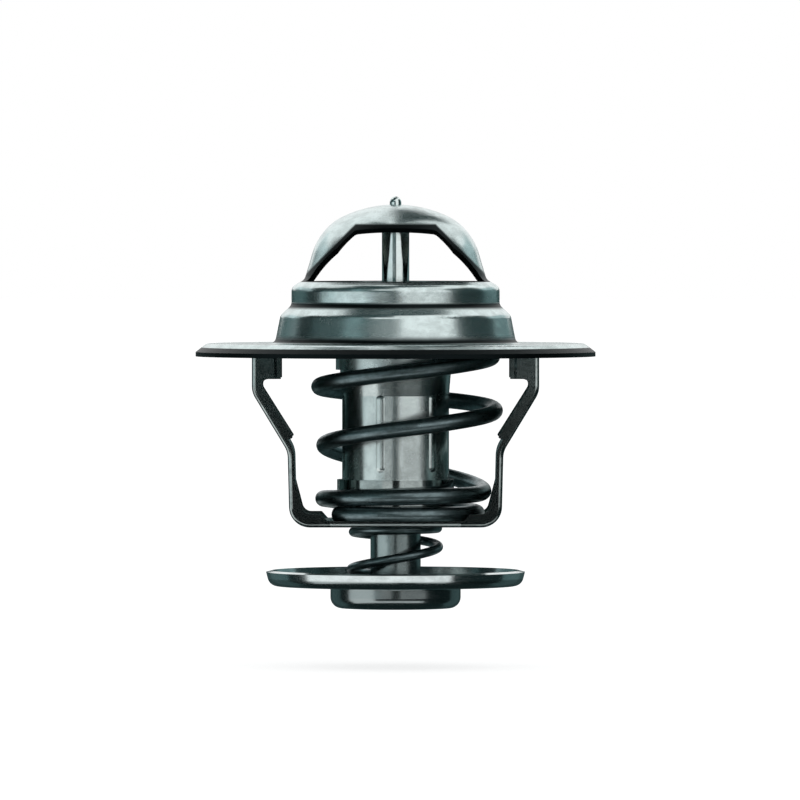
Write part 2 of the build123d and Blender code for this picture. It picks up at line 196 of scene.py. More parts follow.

# Start and end of the fades below and above the painted shade in the inner bends, in metres from the flange
# and from the crease
FOOT_FADES = ((0.00002, 0.0002), (0.0004, 0.0013))
CREASE_FADES = ((-0.0007, -0.0002), (0.0001, 0.0005))

# Height over which the painted shade in the disc's cup fades into the disc's colour, in metres
CUP_SHADE_FADE = 0.0003

# Where the painted shade on the flange's rim starts, and the outer face of the frame that holds the painted
# highlight, as shares of their distance from the axis
RIM_SHARE = 0.97
FACE_SHARE = 0.99

# A limit beyond every point of the part, in metres
FAR = 1.0

# Edges of the wire sharper than this, in degrees, aren't smoothed
SHARP_ANGLE = 35

# Angles closer than this, in degrees, are the same
SAME_ANGLE = 1e-6

# The camera sees from the first to the second distance, in metres
CAMERA_CLIP = (0.01, 50.0)

# Places of the Mix node's sockets, several of which have the same name
MIX_FACTOR = 0
MIX_NUMBERS = (2, 3)
MIX_COLOURS = (6, 7)
MIX_NUMBER_OUT = 0
MIX_COLOUR_OUT = 2


class ThermostatFinish(bpy.types.PropertyGroup):
    """Colours and polish of the thermostat's metals and rubber, and the colours of the painted shade on
    them.
    """

    sheet_colour: bpy.props.FloatVectorProperty(
        name="Pressed steel",
        description="Colour of the flange, the rings, the bridge and the valve plate",
        subtype="COLOR",
        default=(0.71, 0.82, 0.815),
        min=0.0,
        max=1.0,
    )
    sheet_roughness: bpy.props.FloatProperty(
        name="Sheet roughness",
        description="Roughness of the cleanest pressed steel",
        subtype="FACTOR",
        default=0.2,
        min=0.05,
        max=1.0,
    )
    # Painted shade: a near-black colour on the flange's rim edge, in the bends at the rings' foot and
    # between the rings, and along the windows' cut edges
    painted_shade_colour: bpy.props.FloatVectorProperty(
        name="Rim edge and inner bends",
        description="Colour of the flange's sheared rim and of the soiled inner bends",
        subtype="COLOR",
        default=(0.010, 0.015, 0.016),
        min=0.0,
        max=1.0,
    )
    arm_line: bpy.props.FloatProperty(
        name="Window side",
        description="Height plus distance from the middle along the windows' slanted sides",
        unit="LENGTH",
        default=0.02245,
        min=0.0,
        max=0.05,
        precision=5,
    )
    hub_line: bpy.props.FloatProperty(
        name="Window top",
        description="Height of the windows' upper edge",
        unit="LENGTH",
        default=0.0173,
        min=0.0,
        max=0.05,
        precision=5,
    )
    # Painted shade: fully dark width of the near-black line along the windows' cut edges
    window_shade_width: bpy.props.FloatProperty(
        name="Window line",
        description="Fully dark width of the line round the windows",
        unit="LENGTH",
        default=0.00015,
        min=0.0001,
        max=0.005,
        precision=5,
    )
    rings_height: bpy.props.FloatProperty(
        name="Rings height",
        description="Height above which the line round the windows is drawn",
        unit="LENGTH",
        default=0.01005,
        min=0.0,
        max=0.05,
        precision=5,
    )
    flange_height: bpy.props.FloatProperty(
        name="Flange height",
        description="Height of the flange's flat top",
        unit="LENGTH",
        default=0.00175,
        min=0.0,
        max=0.01,
        precision=5,
    )
    crease_height: bpy.props.FloatProperty(
        name="Crease height",
        description="Height of the inner bend between the two rings",
        unit="LENGTH",
        default=0.00695,
        min=0.0,
        max=0.02,
        precision=5,
    )
    # Painted shade: fully dark height of the near-black band on the flange's rim edge
    rim_shade_height: bpy.props.FloatProperty(
        name="Rim edge height",
        description="Fully dark height of the flange's rim",
        unit="LENGTH",
        default=0.0011,
        min=0.0,
        max=0.002,
        precision=5,
    )
    # Painted shade: the cup in the bypass disc is darker than its lip
    cup_shade_colour: bpy.props.FloatVectorProperty(
        name="Bypass cup",
        description="Colour of the cup pressed in the bypass disc, darker than its lip",
        subtype="COLOR",
        default=(0.32, 0.37, 0.37),
        min=0.0,
        max=1.0,
    )
    cup_shade_depth: bpy.props.FloatProperty(
        name="Cup depth",
        description="Height of the darker cup, from its base",
        unit="LENGTH",
        default=0.0042,
        min=0.0,
        max=0.01,
        precision=5,
    )
    strip_colour: bpy.props.FloatVectorProperty(
        name="Frame strip",
        description="Colour of the bent lower frame",
        subtype="COLOR",
        default=(0.42, 0.48, 0.47),
        min=0.0,
        max=1.0,
    )
    # Painted highlight: a light bar along the seat's lower front edge under the main spring, in the element
    # shell's colour
    seat_highlight_length: bpy.props.FloatProperty(
        name="Seat edge length",
        description="Length of the bright cut edge under the main spring",
        unit="LENGTH",
        default=0.0176,
        min=0.0,
        max=0.03,
        precision=5,
    )
    seat_highlight_height: bpy.props.FloatProperty(
        name="Seat edge height",
        description="Height of the bright cut edge under the main spring",
        unit="LENGTH",
        default=0.0005,
        min=0.0,
        max=0.005,
        precision=5,
    )
    shell_colour: bpy.props.FloatVectorProperty(
        name="Element shell",
        description="Colour of the wax element's plated cup",
        subtype="COLOR",
        default=(0.64, 0.72, 0.71),
        min=0.0,
        max=1.0,
    )
    stem_colour: bpy.props.FloatVectorProperty(
        name="Bypass stem",
        description="Colour of the turned bypass stem",
        subtype="COLOR",
        default=(0.34, 0.41, 0.41),
        min=0.0,
        max=1.0,
    )
    bright_colour: bpy.props.FloatVectorProperty(
        name="Ground steel",
        description="Colour of the pin",
        subtype="COLOR",
        default=(0.74, 0.83, 0.82),
        min=0.0,
        max=1.0,
    )
    disc_colour: bpy.props.FloatVectorProperty(
        name="Bypass disc",
        description="Colour of the dished valve disc",
        subtype="COLOR",
        default=(0.72, 0.80, 0.80),
        min=0.0,
        max=1.0,
    )
    wire_colour: bpy.props.FloatVectorProperty(
        name="Spring wire",
        description="Colour of the dark oil-tempered wire",
        subtype="COLOR",
        default=(0.165, 0.220, 0.230),
        min=0.0,
        max=1.0,
    )
    brass_colour: bpy.props.FloatVectorProperty(
        name="Pin guide",
        description="Colour of the turned guide that closes the element",
        subtype="COLOR",
        default=(0.30, 0.285, 0.25),
        min=0.0,
        max=1.0,
    )
    rubber_colour: bpy.props.FloatVectorProperty(
        name="Seal rubber",
        description="Colour of the valve seal, the boot and the wiper ring",
        subtype="COLOR",
        default=(0.028, 0.029, 0.031),
        min=0.0,
        max=1.0,
    )
    wax_colour: bpy.props.FloatVectorProperty(
        name="Wax",
        description="Colour of the wax in the element",
        subtype="COLOR",
        default=(0.42, 0.36, 0.25),
        min=0.0,
        max=1.0,
    )


class ThermostatSprings(bpy.types.PropertyGroup):
    """Sizes of the two coil springs."""

    main_wire: bpy.props.FloatProperty(
        name="Main wire radius",
        description="Radius of the main spring's wire",
        unit="LENGTH",
        default=0.0011,
        min=0.0005,
        max=0.002,
        precision=5,
    )
    main_low_radius: bpy.props.FloatProperty(
        name="Main coil at the seat",
        description="Radius of the main spring's centreline on the frame's seat",
        unit="LENGTH",
        default=0.0099,
        min=0.005,
        max=0.015,
        precision=5,
    )
    main_top_radius: bpy.props.FloatProperty(
        name="Main coil at the plate",
        description="Radius of the main spring's centreline under the valve plate",
        unit="LENGTH",
        default=0.0122,
        min=0.005,
        max=0.015,
        precision=5,
    )
    main_bow: bpy.props.FloatProperty(
        name="Main spring bow",
        description="How far the middle of the main spring leans along X",
        unit="LENGTH",
        default=0.00135,
        min=0.0,
        max=0.002,
        precision=5,
    )
    main_growth: bpy.props.FloatProperty(
        name="Main coil growth",
        description="Below 1 the main coil widens early on its way up",
        default=0.5,
        min=0.1,
        max=2.0,
    )
    main_offset: bpy.props.FloatProperty(
        name="Main spring offset",
        description="How far the whole main spring sits off the axis along X",
        unit="LENGTH",
        default=0.00045,
        min=0.0,
        max=0.001,
        precision=5,
    )
    bypass_wire: bpy.props.FloatProperty(
        name="Bypass wire radius",
        description="Radius of the bypass spring's wire",
        unit="LENGTH",
        default=0.00062,
        min=0.0003,
        max=0.001,
        precision=5,
    )
    bypass_low_radius: bpy.props.FloatProperty(
        name="Bypass coil in the cup",
        description="Radius of the bypass spring's centreline in the disc's cup",
        unit="LENGTH",
        default=0.0062,
        min=0.004,
        max=0.008,
        precision=5,
    )
    bypass_top_radius: bpy.props.FloatProperty(
        name="Bypass coil at the element",
        description="Radius of the bypass spring's centreline under the wax element",
        unit="LENGTH",
        default=0.00565,
        min=0.004,
        max=0.008,
        precision=5,
    )
    wire_sides: bpy.props.IntProperty(
        name="Wire sides",
        description="Points round the wire",
        default=24,
        min=8,
        max=64,
    )
    coil_step: bpy.props.FloatProperty(
        name="Coil step",
        description="Turn between two rings of points along the wire, in degrees",
        default=5.0,
        min=1.0,
        max=20.0,
    )


class ThermostatStudio(bpy.types.PropertyGroup):
    """Camera, lamps, cards and floor."""

    camera_distance: bpy.props.FloatProperty(
        name="Camera distance",
        description="Distance from the axis to the camera",
        unit="LENGTH",
        default=1.5,
        min=0.2,
        max=5.0,
    )
    camera_height: bpy.props.FloatProperty(
        name="Camera height",
        description="Height of the camera over the flange rim",
        unit="LENGTH",
        default=0.020,
        min=-0.1,
        max=0.5,
    )
    aim: bpy.props.FloatVectorProperty(
        name="Aim",
        description="Point in the middle of the picture",
        subtype="XYZ",
        unit="LENGTH",
        default=(0.0006, 0.0, -0.0059),
        precision=5,
    )
    lens: bpy.props.FloatProperty(
        name="Lens",
        description="Focal length in millimetres",
        default=500.0,
        min=50.0,
        max=1000.0,
    )
    left_place: bpy.props.FloatVectorProperty(
        name="Left lamp place",
        description="Middle of the left soft lamp",
        subtype="XYZ",
        unit="LENGTH",
        default=(-0.63, -0.64, -0.03),
    )
    left_size: bpy.props.FloatVectorProperty(
        name="Left lamp size",
        description="Width and height of the left soft lamp",
        size=2,
        unit="LENGTH",
        default=(1.05, 0.44),
    )
    left_level: bpy.props.FloatProperty(
        name="Left lamp",
        description="Level of the left soft lamp, with white as 1",
        default=0.8,
        min=0.0,
        max=5.0,
    )
    right_place: bpy.props.FloatVectorProperty(
        name="Right lamp place",
        description="Middle of the right soft lamp",
        subtype="XYZ",
        unit="LENGTH",
        default=(0.49, -0.75, 0.10),
    )
    right_size: bpy.props.FloatVectorProperty(
        name="Right lamp size",
        description="Width and height of the right soft lamp",
        size=2,
        unit="LENGTH",
        default=(0.80, 0.80),
    )
    right_level: bpy.props.FloatProperty(
        name="Right lamp",
        description="Level of the right soft lamp, with white as 1",
        default=0.9,
        min=0.0,
        max=5.0,
    )
    fill_level: bpy.props.FloatProperty(
        name="Fill level",
        description="Plain light from all round on dull surfaces",
        default=0.45,
        min=0.0,
        max=2.0,
    )
    floor_size: bpy.props.FloatProperty(
        name="Floor size",
        description="Width of the pale floor",
        unit="LENGTH",
        default=12.0,
        min=1.0,
        max=50.0,
    )
    floor_colour: bpy.props.FloatVectorProperty(
        name="Floor colour",
        description="Colour of the pale floor",
        subtype="COLOR",
        default=(0.85, 0.86, 0.86),
        min=0.0,
        max=1.0,
    )
    floor_glow: bpy.props.FloatProperty(
        name="Floor glow",
        description="Level added to the floor where it is seen",
        default=0.7,
        min=0.0,
        max=2.0,
    )
    card_distance: bpy.props.FloatProperty(
        name="Card distance",
        description="Distance from the middle to the cards",
        unit="LENGTH",
        default=0.5,
        min=0.1,
        max=1.0,
    )


def add_node(tree, kind, settings=None, **values):
    """Add a shader node, set its own settings and the values of its sockets."""
    node = tree.nodes.new(kind)
    for name, value in (settings or {}).items():
        setattr(node, name, value)
    for name, value in values.items():
        node.inputs[name.replace("_", " ")].default_value = value
    return node


def empty_material(name):
    """Start a material with no nodes."""
    material = bpy.data.materials.new(name)
    material.use_nodes = True
    material.node_tree.nodes.clear()
    return material, material.node_tree


def show(tree, surface):
    """Send a shader to the material's output."""
    output = add_node(tree, "ShaderNodeOutputMaterial")
    tree.links.new(surface, output.inputs["Surface"])


def new_finish(name):
    """Start a material that holds one Principled shader."""
    material, tree = empty_material(name)
    shader = add_node(tree, "ShaderNodeBsdfPrincipled")
    show(tree, shader.outputs["BSDF"])
    return material, tree, shader


def maths(tree, operation, *values):
    """One number from one or two values, each a socket or a number."""
    node = add_node(tree, "ShaderNodeMath", {"operation": operation})
    for index, value in enumerate(values):
        if isinstance(value, (int, float)):
            node.inputs[index].default_value = value
        else:
            tree.links.new(value, node.inputs[index])
    return node.outputs["Value"]


def part_place(tree):
    """Place on the part in its own frame."""
    return add_node(tree, "ShaderNodeTexCoord").outputs["Object"]


def split_place(tree, vector):
    """The three parts of a vector."""
    parts = add_node(tree, "ShaderNodeSeparateXYZ")
    tree.links.new(vector, parts.inputs["Vector"])
    return parts.outputs["X"], parts.outputs["Y"], parts.outputs["Z"]


def combined(tree, **parts):
    """One vector from some of its parts."""
    vector = add_node(tree, "ShaderNodeCombineXYZ")
    for name, value in parts.items():
        tree.links.new(value, vector.inputs[name])
    return vector.outputs["Vector"]


def turned_place(tree):
    """Place on the part as radius, turn about the axis and height, in metres and radians."""
    x, y, height = split_place(tree, part_place(tree))
    radius = add_node(tree, "ShaderNodeVectorMath", {"operation": "LENGTH"})
    tree.links.new(combined(tree, X=x, Y=y), radius.inputs[0])
    turn = maths(tree, "ARCTAN2", y, x)
    return combined(tree, X=radius.outputs["Value"], Y=turn, Z=height)


def noise_on(tree, place, pattern):
    """Noise over a place, in one of the patterns above."""
    scale, detail, roughness = pattern
    mapping = add_node(tree, "ShaderNodeMapping", Scale=scale)
    tree.links.new(place, mapping.inputs["Vector"])
    noise = add_node(tree, "ShaderNodeTexNoise", Scale=1.0, Detail=detail, Roughness=roughness)
    tree.links.new(mapping.outputs["Vector"], noise.inputs["Vector"])
    return noise.outputs["Fac"]


def between(tree, factor, low, high, start=0.3, end=0.7):
    """Turn a value that runs from start to end into a number that runs smoothly from low to high."""
    spread = add_node(
        tree,
        "ShaderNodeMapRange",
        {"interpolation_type": "SMOOTHSTEP"},
        From_Min=start,
        From_Max=end,
        To_Min=low,
        To_Max=high,
    )
    tree.links.new(factor, spread.inputs["Value"])
    return spread.outputs["Result"]


def two_tone(tree, factor, dark, light):
    """Blend two colours by a factor."""
    mix = add_node(tree, "ShaderNodeMix", {"data_type": "RGBA"})
    for place, colour in zip(MIX_COLOURS, (dark, light)):
        mix.inputs[place].default_value = (*colour, 1.0)
    tree.links.new(factor, mix.inputs[MIX_FACTOR])
    return mix.outputs[MIX_COLOUR_OUT]


def relief(tree, shader, *layers):
    """Chain bumps, each a height and its depth in metres, into the shader's normal."""
    last = None
    for height, depth in layers:
        bump = add_node(tree, "ShaderNodeBump", Strength=1.0, Distance=depth)
        tree.links.new(height, bump.inputs["Height"])
        if last:
            tree.links.new(last.outputs["Normal"], bump.inputs["Normal"])
        last = bump
    tree.links.new(last.outputs["Normal"], shader.inputs["Normal"])


def at_level(colour, share):
    """The same colour at a share of its level."""
    return tuple(part * share for part in colour)


def zone(tree, *limits):
    """One where every value lies between its two limits, and zero elsewhere."""
    share = None
    for value, low, high in limits:
        for operation, limit in (("GREATER_THAN", low), ("LESS_THAN", high)):
            test = maths(tree, operation, value, limit)
            share = test if share is None else maths(tree, "MULTIPLY", share, test)
    return share


def tint(material, mask, colour, roughness):
    """Give a material another colour and roughness where the mask is one."""
    tree = material.node_tree
    shader = next(node for node in tree.nodes if node.type == "BSDF_PRINCIPLED")
    tone = add_node(tree, "ShaderNodeMix", {"data_type": "RGBA"})
    tree.links.new(shader.inputs["Base Color"].links[0].from_socket, tone.inputs[MIX_COLOURS[0]])
    tone.inputs[MIX_COLOURS[1]].default_value = (*colour, 1.0)
    tree.links.new(mask, tone.inputs[MIX_FACTOR])
    tree.links.new(tone.outputs[MIX_COLOUR_OUT], shader.inputs["Base Color"])
    polish = add_node(tree, "ShaderNodeMix")
    tree.links.new(shader.inputs["Roughness"].links[0].from_socket, polish.inputs[MIX_NUMBERS[0]])
    polish.inputs[MIX_NUMBERS[1]].default_value = roughness
    tree.links.new(mask, polish.inputs[MIX_FACTOR])
    tree.links.new(polish.outputs[MIX_NUMBER_OUT], shader.inputs["Roughness"])


def rolled_steel(name, colour, roughness, streak_depth=1.5e-6, wave_depth=1.5e-5, grain=0.9, wear=0.06):
    """Rolled or drawn steel: faint rings of streaks, soft waves, stains and small specks."""
    material, tree, shader = new_finish(name)
    place = part_place(tree)
    waves = noise_on(tree, place, WAVES)
    stains = noise_on(tree, place, STAINS)
    specks = noise_on(tree, place, SPECKS)
    streaks = noise_on(tree, turned_place(tree), STREAKS)
    tone = between(tree, stains, 0.0, 1.0, start=0.34, end=0.66)
    tree.links.new(two_tone(tree, tone, at_level(colour, grain), colour), shader.inputs["Base Color"])
    speckled = between(tree, specks, -wear / 6, wear / 3)
    stained = between(tree, stains, roughness + wear, roughness)
    tree.links.new(maths(tree, "ADD", speckled, stained), shader.inputs["Roughness"])
    relief(tree, shader, (waves, wave_depth), (streaks, streak_depth), (specks, SPECK_DEPTH))
    shader.inputs["Metallic"].default_value = 1.0
    return material


def tumbled_steel(name, colour, roughness, grain=0.82, wear=0.05):
    """Plated and tumbled steel: even grey with a fine pitted grain and grey clouds."""
    material, tree, shader = new_finish(name)
    place = part_place(tree)
    clouds = noise_on(tree, place, CLOUDS)
    pits = noise_on(tree, place, PITS)
    tone = between(tree, clouds, 0.0, 1.0, start=0.32, end=0.62)
    tree.links.new(two_tone(tree, tone, at_level(colour, grain), colour), shader.inputs["Base Color"])
    pitted = between(tree, pits, 0.04, -0.02)
    clouded = between(tree, clouds, roughness + wear, roughness)
    tree.links.new(maths(tree, "ADD", pitted, clouded), shader.inputs["Roughness"])
    relief(tree, shader, (clouds, CLOUD_DEPTH), (pits, PIT_DEPTH))
    shader.inputs["Metallic"].default_value = 1.0
    return material


def tempered_wire(name, colour, roughness, dark=0.75, light=1.2):
    """Dark oil-tempered wire with fine draw lines along its length."""
    material, tree, shader = new_finish(name)
    along = add_node(tree, "ShaderNodeTexCoord").outputs["UV"]
    lines = noise_on(tree, along, DRAW_LINES)
    temper = noise_on(tree, along, TEMPER)
    tone = between(tree, temper, 0.0, 1.0, start=0.35, end=0.7)
    mottled = two_tone(tree, tone, at_level(colour, dark), at_level(colour, light))
    tree.links.new(mottled, shader.inputs["Base Color"])
    tree.links.new(between(tree, temper, roughness + 0.08, roughness - 0.03), shader.inputs["Roughness"])
    relief(tree, shader, (lines, DRAW_LINE_DEPTH), (temper, TEMPER_DEPTH))
    shader.inputs["Metallic"].default_value = 1.0
    return material


def moulded_rubber(name, colour, bloom_level=1.9):
    """Matt moulded rubber with a dusty bloom."""
    material, tree, shader = new_finish(name)
    place = part_place(tree)
    bloom = noise_on(tree, place, BLOOM)
    skin = noise_on(tree, place, SKIN)
    tone = between(tree, bloom, 0.0, 1.0)
    tree.links.new(two_tone(tree, tone, colour, at_level(colour, bloom_level)), shader.inputs["Base Color"])
    tree.links.new(between(tree, bloom, 0.5, 0.66), shader.inputs["Roughness"])
    relief(tree, shader, (skin, SKIN_DEPTH))
    return material


def window_shade(tree, finish):
    """One on a narrow line round the windows beside the bridge, where shade is painted along their cut
    edges.
    """
    x, _, height = split_place(tree, part_place(tree))
    slanted = maths(tree, "ADD", maths(tree, "ABSOLUTE", x), height)
    arm, hub = finish.arm_line, finish.hub_line
    from_arm = between(tree, slanted, 0.0, ARM_REACH, start=arm, end=arm + ARM_SPAN)
    from_hub = between(tree, height, 0.0, WINDOW_REACH, start=hub, end=hub + WINDOW_REACH)
    from_window = maths(tree, "MAXIMUM", from_arm, from_hub)
    width = finish.window_shade_width
    line = between(tree, from_window, 1, 0, start=width, end=WINDOW_SHADE_FADE * width)
    return maths(tree, "MULTIPLY", zone(tree, (height, finish.rings_height, FAR)), line)


def rim_shade(tree, finish):
    """One on the flange's sheared rim, where shade is painted."""
    radius, _, height = split_place(tree, turned_place(tree))
    outside = zone(tree, (radius, RIM_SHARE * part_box("upper_housing")[1].x, FAR))
    low = between(tree, height, 1, 0, start=finish.rim_shade_height, end=RIM_SHADE_FADE * finish.rim_shade_height)
    return maths(tree, "MULTIPLY", outside, low)


def height_band(tree, base, fade_in, fade_out):
    """One in a band of heights over a base, with the start and end of the fade below it and above it."""
    height = split_place(tree, part_place(tree))[2]
    over = between(tree, height, 0, 1, start=base + fade_in[0], end=base + fade_in[1])
    under = between(tree, height, 1, 0, start=base + fade_out[0], end=base + fade_out[1])
    return maths(tree, "MULTIPLY", over, under)


def bend_shade(tree, finish):
    """One in the bends at the foot of the rings and between them, where shade is painted."""
    low_bend = height_band(tree, finish.flange_height, *FOOT_FADES)
    high_bend = height_band(tree, finish.crease_height, *CREASE_FADES)
    return maths(tree, "MAXIMUM", low_bend, high_bend)


def joint_end(name):
    """The far end of a joint's range."""
    return next(joint for joint in frame["joints"] if joint["name"] == name)["range_m"][1]


def dress(node_name, material):
    """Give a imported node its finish."""
    for slot in frame["nodes"][node_name].material_slots:
        slot.material = material


def coil_share(angle, knots):
    """Share of a spring's length at an angle, smooth through its knots."""
    slopes = []
    for index in range(len(knots)):
        before = knots[max(index - 1, 0)]
        after = knots[min(index + 1, len(knots) - 1)]
        slopes.append((after[1] - before[1]) / (after[0] - before[0]))
    span = next(index for index in range(len(knots) - 1) if angle <= knots[index + 1][0] + SAME_ANGLE)
    (start, low), (end, high) = knots[span], knots[span + 1]
    part = (angle - start) / (end - start)
    bend = (slopes[span] * (1 - part) - slopes[span + 1] * part) * (end - start)
    ease = part * part * (3 - 2 * part)
    return low * (1 - ease) + high * ease + bend * part * (1 - part)


def coil_points(knots, radii, ends, step, growth=1.0, bow=0.0, offset=0.0):
    """Points along a coil from the first to the second of radii, bowed along X and set off the axis."""
    first, last = knots[0][0], knots[-1][0]
    count = round((last - first) / step)
    points = []
    for index in range(count + 1):
        angle = first + (last - first) * index / count
        share = coil_share(angle, knots)
        radius = radii[0] + (radii[1] - radii[0]) * share**growth
        x = offset + bow * sin(pi * share) + radius * cos(radians(angle))
        height = ends[0] + (ends[1] - ends[0]) * share
        points.append(Vector((x, radius * sin(radians(angle)), height)))
    return points


def wind_wire(name, points, wire_radius, sides, ends):
    """Mesh of round wire along points, with both ends of the spring ground flat."""
    shell = bmesh.new()
    uv_layer = shell.loops.layers.uv.new("Wire")
    rings = []
    lengths = [0.0]
    for index in range(1, len(points)):
        lengths.append(lengths[-1] + (points[index] - points[index - 1]).length)
    for index, point in enumerate(points):
        along = (points[min(index + 1, len(points) - 1)] - points[max(index - 1, 0)]).normalized()
        across = along.cross(Vector((0, 0, 1))).normalized()
        up = across.cross(along)
        ring = []
        for side in range(sides):
            turn = 2 * pi * side / sides
            place = point + (across * cos(turn) + up * sin(turn)) * wire_radius
            place.z = min(max(place.z, ends[0]), ends[1])
            ring.append(shell.verts.new(place))
        rings.append(ring)
    girth = 2 * pi * wire_radius
    for index in range(len(rings) - 1):
        for side in range(sides):
            after = (side + 1) % sides
            near, far = rings[index], rings[index + 1]
            face = shell.faces.new((near[side], near[after], far[after], far[side]))
            face.smooth = True
            spots = ((index, side), (index, side + 1), (index + 1, side + 1), (index + 1, side))
            for loop, (ring_index, side_index) in zip(face.loops, spots):
                loop[uv_layer].uv = (lengths[ring_index], girth * side_index / sides)
    shell.faces.new(list(reversed(rings[0])))
    shell.faces.new(rings[-1])
    bmesh.ops.recalc_face_normals(shell, faces=shell.faces)
    mesh = bpy.data.meshes.new(name)
    shell.to_mesh(mesh)
    shell.free()
    mesh.set_sharp_from_angle(angle=radians(SHARP_ANGLE))
    spring = bpy.data.objects.new(name, mesh)
    bpy.context.scene.collection.objects.link(spring)
    return spring


class THERMOSTAT_OT_housing(bpy.types.Operator):
    """Finish the pressed flange, rings and bridge, and the pin in the crown."""

    bl_idname = "thermostat.housing"
    bl_label = "Housing and Pin"

    def execute(self, context):
        finish = context.scene.thermostat_finish
        sheet = rolled_steel("pressed_sheet", finish.sheet_colour, finish.sheet_roughness, grain=0.8)
        tree = sheet.node_tree
        # Painted shade: the rim edge, the inner bends and the lines round the windows are tinted near black
        shaded = maths(tree, "MAXIMUM", bend_shade(tree, finish), window_shade(tree, finish))
        dark = maths(tree, "MAXIMUM", rim_shade(tree, finish), shaded)
        tint(sheet, dark, finish.painted_shade_colour, roughness=0.45)
        dress("upper_housing", sheet)
        ground = {"roughness": 0.1, "streak_depth": 1e-6, "wave_depth": 2e-6, "grain": 0.94}
        dress("piston_pin", rolled_steel("ground_pin", finish.bright_colour, **ground))
        return {"FINISHED"}


class THERMOSTAT_OT_lower_frame(bpy.types.Operator):
    """Finish the bent strip that carries the springs."""

    bl_idname = "thermostat.lower_frame"
    bl_label = "Lower Frame"

    def execute(self, context):
        finish = context.scene.thermostat_finish
        even = {"roughness": 0.12, "streak_depth": 5e-7, "wave_depth": 5e-6, "grain": 0.6, "wear": 0.01}
        strip = rolled_steel("frame_strip", finish.strip_colour, **even)
        tree = strip.node_tree
        x, y, height = split_place(tree, part_place(tree))
        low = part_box("lower_frame")[0]
        # Painted highlight: the seat's lower front edge gets the element shell's light colour
        half_highlight = finish.seat_highlight_length / 2
        seat = zone(
            tree,
            (x, -half_highlight, half_highlight),
            (y, -FAR, FACE_SHARE * low.y),
            (height, -FAR, low.z + finish.seat_highlight_height),
        )
        tint(strip, seat, finish.shell_colour, roughness=0.5)
        dress("lower_frame", strip)
        return {"FINISHED"}


class THERMOSTAT_OT_element(bpy.types.Operator):
    """Finish the wax element, its guide plug, boot, wax and wiper ring."""

    bl_idname = "thermostat.element"
    bl_label = "Wax Element"

    def execute(self, context):
        finish = context.scene.thermostat_finish
        rubber = moulded_rubber("boot_rubber", finish.rubber_colour)
        turned = {"roughness": 0.22, "streak_depth": 5e-6, "wave_depth": 5e-6, "grain": 0.85}
        dress("element_cup", tumbled_steel("plated_cup", finish.shell_colour, roughness=0.2))
        dress("pin_guide", rolled_steel("turned_brass", finish.brass_colour, **turned))
        dress("wiper_ring", rubber)
        dress("rubber_sleeve", rubber)
        dress("wax_charge", moulded_rubber("grey_wax", finish.wax_colour))
        return {"FINISHED"}


class THERMOSTAT_OT_main_valve(bpy.types.Operator):
    """Finish the main valve's plate and its moulded seal."""

    bl_idname = "thermostat.main_valve"
    bl_label = "Main Valve"

    def execute(self, context):
        finish = context.scene.thermostat_finish
        dress("main_valve_plate", rolled_steel("valve_sheet", finish.sheet_colour, roughness=0.26))
        dress("main_valve_seal", moulded_rubber("seal_rubber", finish.rubber_colour))
        return {"FINISHED"}


class THERMOSTAT_OT_main_spring(bpy.types.Operator):
    """Wind the main spring between the frame's seat and the valve plate."""

    bl_idname = "thermostat.main_spring"
    bl_label = "Main Spring"

    def execute(self, context):
        sizes = context.scene.thermostat_springs
        low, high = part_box("main_spring")
        ends = (low.z, high.z)
        radii = (sizes.main_low_radius, sizes.main_top_radius)
        shape = (sizes.main_growth, sizes.main_bow, sizes.main_offset)
        points = coil_points(MAIN_COIL, radii, ends, sizes.coil_step, *shape)
        spring = wind_wire("main_coil", points, sizes.main_wire, sizes.wire_sides, ends)
        finish = context.scene.thermostat_finish
        spring.data.materials.append(tempered_wire("main_wire", finish.wire_colour, roughness=0.3))
        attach(spring, "housing")
        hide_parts("main_spring")
        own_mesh(spring)
        return {"FINISHED"}


class THERMOSTAT_OT_bypass_spring(bpy.types.Operator):
    """Wind the bypass spring between the disc's cup and the wax element."""

    bl_idname = "thermostat.bypass_spring"
    bl_label = "Bypass Spring"

    def execute(self, context):
        sizes = context.scene.thermostat_springs
        low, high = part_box("bypass_spring")
        ends = (low.z, high.z)
        radii = (sizes.bypass_low_radius, sizes.bypass_top_radius)
        points = coil_points(BYPASS_COIL, radii, ends, sizes.coil_step)
        spring = wind_wire("bypass_coil", points, sizes.bypass_wire, sizes.wire_sides, ends)
        finish = context.scene.thermostat_finish
        spring.data.materials.append(tempered_wire("bypass_wire", finish.wire_colour, roughness=0.3))
        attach(spring, "element")
        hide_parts("bypass_spring")
        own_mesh(spring)
        return {"FINISHED"}


class THERMOSTAT_OT_bypass_valve(bpy.types.Operator):
    """Finish the dished disc, its stem and the snap ring."""

    bl_idname = "thermostat.bypass_valve"
    bl_label = "Bypass Valve"

    def execute(self, context):
        finish = context.scene.thermostat_finish
        polished = {"roughness": 0.13, "streak_depth": 1e-6, "wave_depth": 1e-5, "grain": 0.86}
        disc = rolled_steel("disc_sheet", finish.disc_colour, **polished)
        tree = disc.node_tree
        # Painted shade: the disc's cup is tinted darker up to the cup's shade depth
        height = split_place(tree, part_place(tree))[2]
        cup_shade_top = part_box("bypass_disc")[0].z + finish.cup_shade_depth
        cup = between(tree, height, 1, 0, start=cup_shade_top - CUP_SHADE_FADE, end=cup_shade_top)
        tint(disc, cup, finish.cup_shade_colour, roughness=0.2)
        dress("bypass_disc", disc)
        dress("bypass_stem", tumbled_steel("turned_stem", finish.stem_colour, roughness=0.2))
        drawn = {"roughness": 0.3, "streak_depth": 3e-6, "wave_depth": 5e-6, "grain": 0.7}
        dress("snap_ring", rolled_steel("ring_wire", finish.strip_colour, **drawn))
        return {"FINISHED"}


